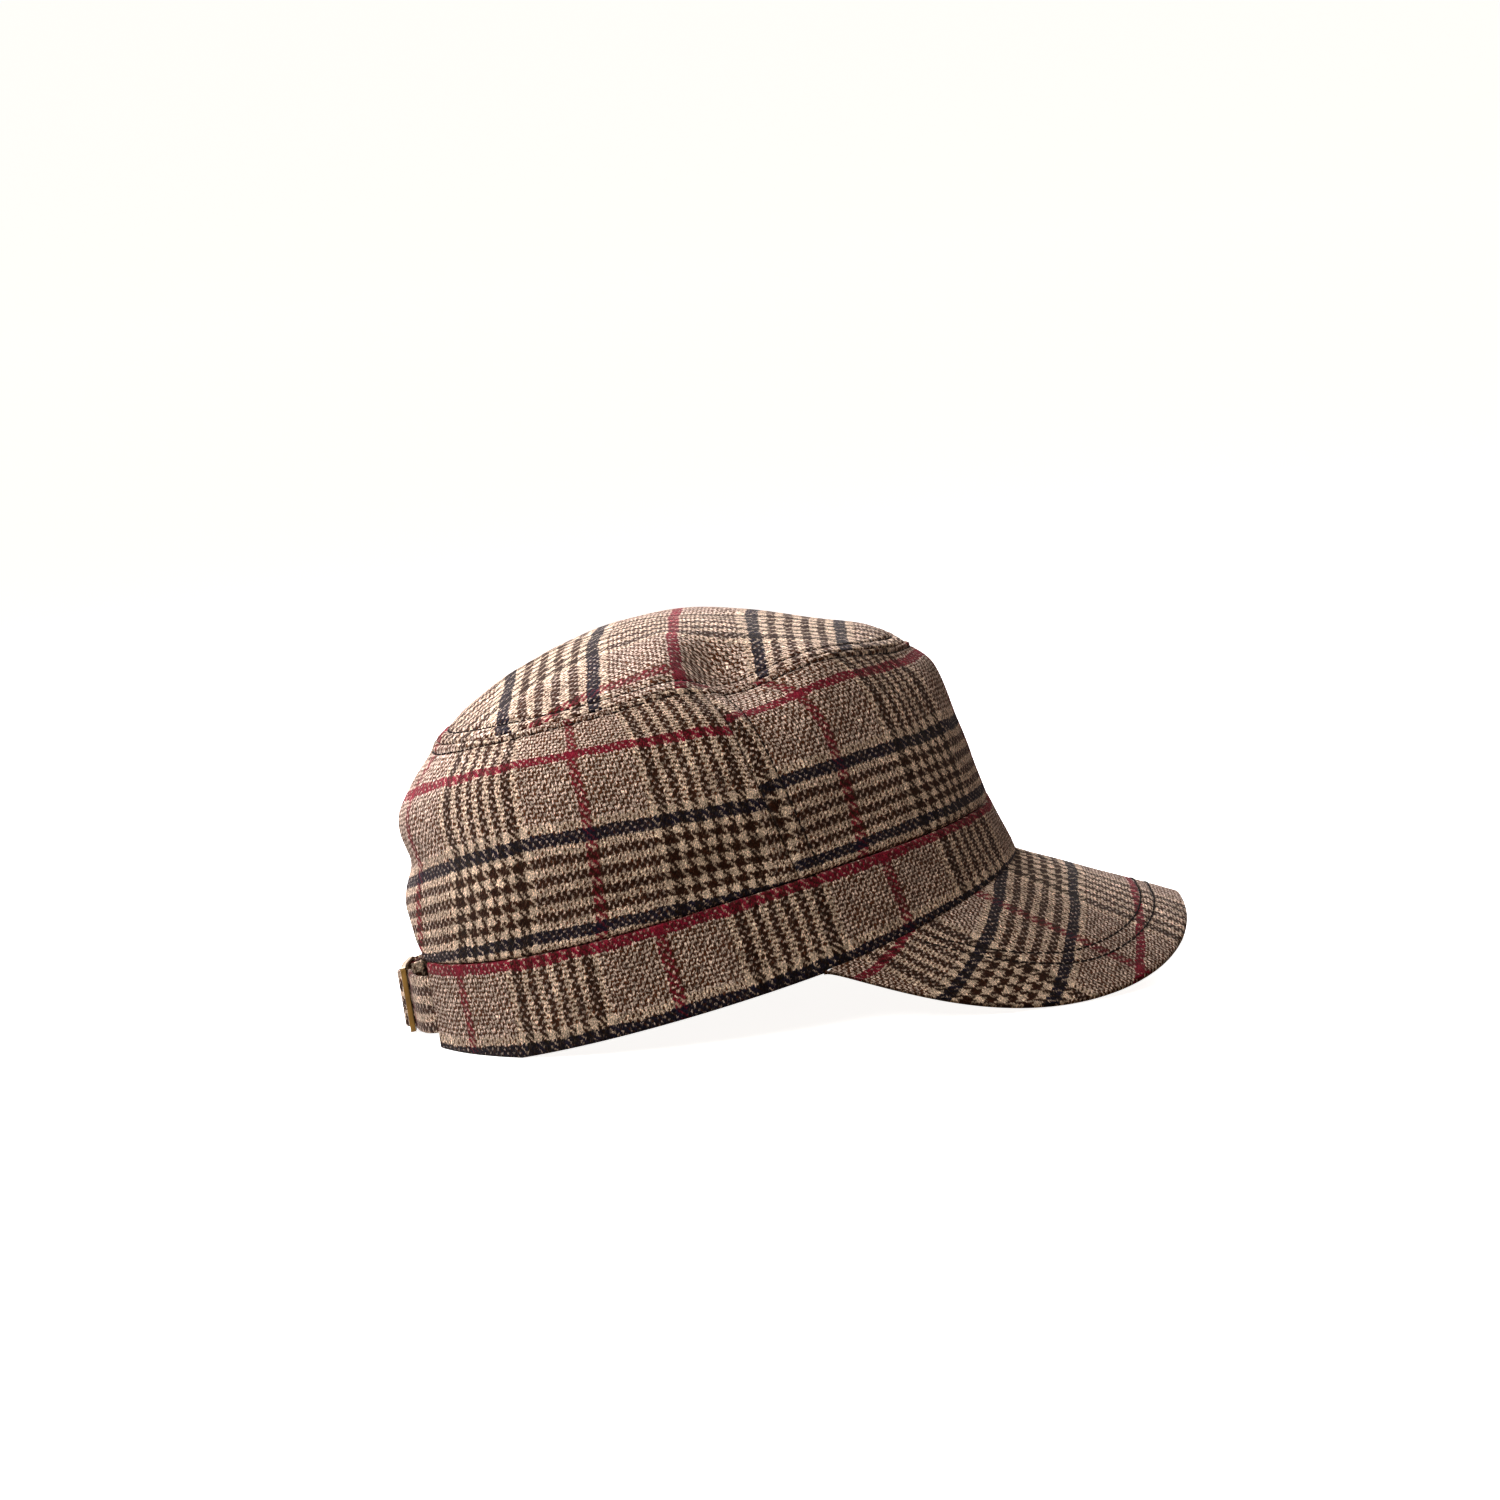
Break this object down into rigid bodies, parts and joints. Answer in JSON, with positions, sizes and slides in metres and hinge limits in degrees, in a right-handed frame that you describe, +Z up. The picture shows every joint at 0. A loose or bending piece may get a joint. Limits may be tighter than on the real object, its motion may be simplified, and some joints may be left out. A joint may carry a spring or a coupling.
{
  "type": "cadet cap",
  "caption": "Cadet cap in checked wool with a soft domed crown, a plain band, a stiff curved peak and a strap with a brass slide at the back.",
  "frame": {"origin": "middle of the footprint, on the table that the cap stands on", "axes": "+X to the front of the cap, towards the peak, +Y to the wearer's left, +Z up from the table"},
  "size_m": [0.2562, 0.164, 0.1273],
  "materials": {
    "wool_cloth": "brushed wool in a check of browns, cream, navy and burgundy",
    "slide_brass": "satin, pressed"
  },
  "bodies": {
    "root": {"crown_top": "wool_cloth", "crown_front": "wool_cloth", "crown_rear_right": "wool_cloth", "crown_rear_left": "wool_cloth", "band": "wool_cloth", "peak": "wool_cloth", "back_strap": "wool_cloth", "strap_loop": "wool_cloth", "slide_buckle": "slide_brass"}
  },
  "joints": []
}
